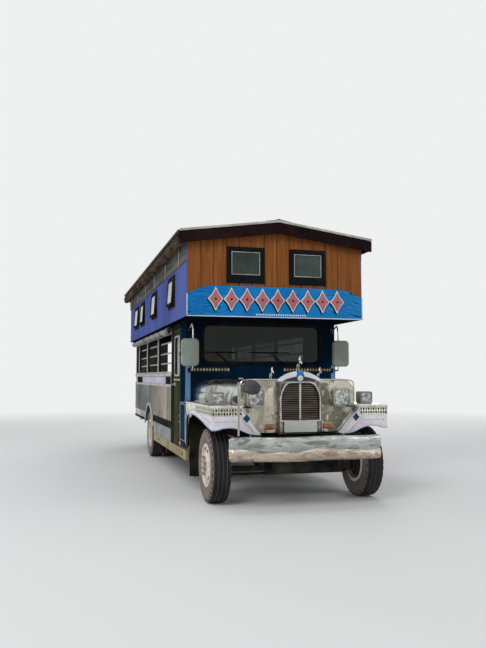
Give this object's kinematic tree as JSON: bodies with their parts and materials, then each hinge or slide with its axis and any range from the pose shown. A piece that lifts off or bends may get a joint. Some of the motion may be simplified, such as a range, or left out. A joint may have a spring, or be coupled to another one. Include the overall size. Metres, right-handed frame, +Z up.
{
  "type": "jeepney with a sleeping loft",
  "caption": "Long-nosed jeepney with an open-sided passenger body, a boarded loft on top, steered front wheels, twin rear wheels, opening hood and doors.",
  "frame": {"origin": "on the road, under the middle of the whole vehicle", "axes": "+Z up, +Y to the vehicle's back, -Y to its front, +X to the driver's (left) side"},
  "size_m": [2.44, 7.8498, 3.2683],
  "materials": {
    "black_steel": "matt, dusty",
    "tyre": "dusty rubber",
    "cream_rim": "painted, dusty",
    "bumper_steel": "dull, dented",
    "chrome": "bright, a little worn",
    "stainless": "brushed, warm",
    "blue_paint": "gloss, faded",
    "navy_paint": "gloss",
    "cream_paint": "satin",
    "white_paint": "satin",
    "violet_paint": "satin, faded",
    "brown_paint": "dull",
    "roof_sheet": "dull zinc",
    "wood": "varnished, worn",
    "glass": "clear",
    "amber_lens": "ribbed lens",
    "canvas": "coated cloth",
    "red_vinyl": "smooth vinyl",
    "black_rubber": "matt",
    "black_plastic": "satin"
  },
  "bodies": {
    "vehicle": {"cab_front_wall": "navy_paint", "dashboard": "black_plastic", "driveline": "black_steel", "engine": "black_steel", "exhaust": "black_steel", "fascia": "brown_paint", "floor": "black_steel", "frame": "black_steel", "front_axle": "black_steel", "front_bumper": "bumper_steel", "front_fenders": "white_paint", "front_panel": "stainless", "fuel_tank": "black_steel", "grille_bars": "chrome", "grille_shell": "chrome", "headlamps": "chrome", "leaf_springs": "black_steel", "loft_floor": "wood", "loft_gables": "wood", "loft_sides": "violet_paint", "loft_windows": "black_plastic", "marker_lamps": "amber_lens", "mirrors": "chrome", "mudflaps": "black_rubber", "nose_sides": "stainless", "rear_axle": "black_steel", "rear_bumper": "bumper_steel", "rear_ladder": "stainless", "rear_wall": "stainless", "roof": "roof_sheet", "seat_cushions": "red_vinyl", "seat_frames": "stainless", "side_panels": "stainless", "side_rails": "white_paint", "side_sills": "cream_paint", "sign_board": "blue_paint", "tarp_rolls": "canvas", "window_bars": "stainless", "window_posts": "black_steel", "windscreen": "glass"},
    "hood": {"hood": "stainless", "hood_figures": "chrome"},
    "door_right": {"cab_door_right": "stainless"},
    "door_left": {"cab_door_left": "stainless"},
    "loft_door": {"loft_door": "wood"},
    "steering_wheel": {"steering_wheel": "black_plastic"},
    "knuckle_right": {"knuckle_right": "black_steel"},
    "knuckle_left": {"knuckle_left": "black_steel"},
    "tie_rod": {"tie_rod": "black_steel"},
    "front_wheel_right": {"front_tyre_right": "tyre", "front_rim_right": "cream_rim"},
    "front_wheel_left": {"front_tyre_left": "tyre", "front_rim_left": "cream_rim"},
    "rear_wheels_right": {"rear_tyres_right": "tyre", "rear_rims_right": "cream_rim"},
    "rear_wheels_left": {"rear_tyres_left": "tyre", "rear_rims_left": "cream_rim"}
  },
  "joints": [
    {"name": "steer_right", "type": "hinge", "parent": "vehicle", "child": "knuckle_right", "pos_m": [-0.72, -3.245, 0.38], "axis": [0, 0, 1], "range_deg": [-32, 32]},
    {"name": "steer_left", "type": "hinge", "parent": "vehicle", "child": "knuckle_left", "pos_m": [0.72, -3.245, 0.38], "axis": [0, 0, 1], "range_deg": [-32, 32]},
    {"name": "tie_rod_turn", "type": "hinge", "parent": "knuckle_left", "child": "tie_rod", "pos_m": [0.72, -3.065, 0.3], "axis": [0, 0, 1], "range_deg": [-32, 32]},
    {"name": "steering_wheel_turn", "type": "hinge", "parent": "vehicle", "child": "steering_wheel", "pos_m": [0.45, -1.705, 1.4], "axis": [0, 0.6428, 0.766], "range_deg": [-448, 448]},
    {"name": "front_wheel_right_roll", "type": "hinge", "parent": "knuckle_right", "child": "front_wheel_right", "pos_m": [-0.875, -3.245, 0.4], "axis": [1, 0, 0], "continuous": true},
    {"name": "front_wheel_left_roll", "type": "hinge", "parent": "knuckle_left", "child": "front_wheel_left", "pos_m": [0.875, -3.245, 0.4], "axis": [1, 0, 0], "continuous": true},
    {"name": "rear_wheels_right_roll", "type": "hinge", "parent": "vehicle", "child": "rear_wheels_right", "pos_m": [-0.7645, 1.355, 0.4], "axis": [1, 0, 0], "continuous": true},
    {"name": "rear_wheels_left_roll", "type": "hinge", "parent": "vehicle", "child": "rear_wheels_left", "pos_m": [0.7645, 1.355, 0.4], "axis": [1, 0, 0], "continuous": true},
    {"name": "hood_lift", "type": "hinge", "parent": "vehicle", "child": "hood", "pos_m": [0, -2.194, 1.35], "axis": [-1, 0, 0], "range_deg": [0, 42]},
    {"name": "door_right_swing", "type": "hinge", "parent": "vehicle", "child": "door_right", "pos_m": [-1.01, -1.752, 1.2], "axis": [0, 0, 1], "range_deg": [0, 75]},
    {"name": "door_left_swing", "type": "hinge", "parent": "vehicle", "child": "door_left", "pos_m": [1.01, -1.752, 1.2], "axis": [0, 0, -1], "range_deg": [0, 75]},
    {"name": "loft_door_swing", "type": "hinge", "parent": "vehicle", "child": "loft_door", "pos_m": [-0.347, 3.615, 2.5], "axis": [0, 0, 1], "range_deg": [0, 110]}
  ],
  "couplings": [
    {"joint": "steer_left", "follows": "steer_right", "ratio": 1},
    {"joint": "tie_rod_turn", "follows": "steer_right", "ratio": -1},
    {"joint": "steering_wheel_turn", "follows": "steer_right", "ratio": 14}
  ]
}
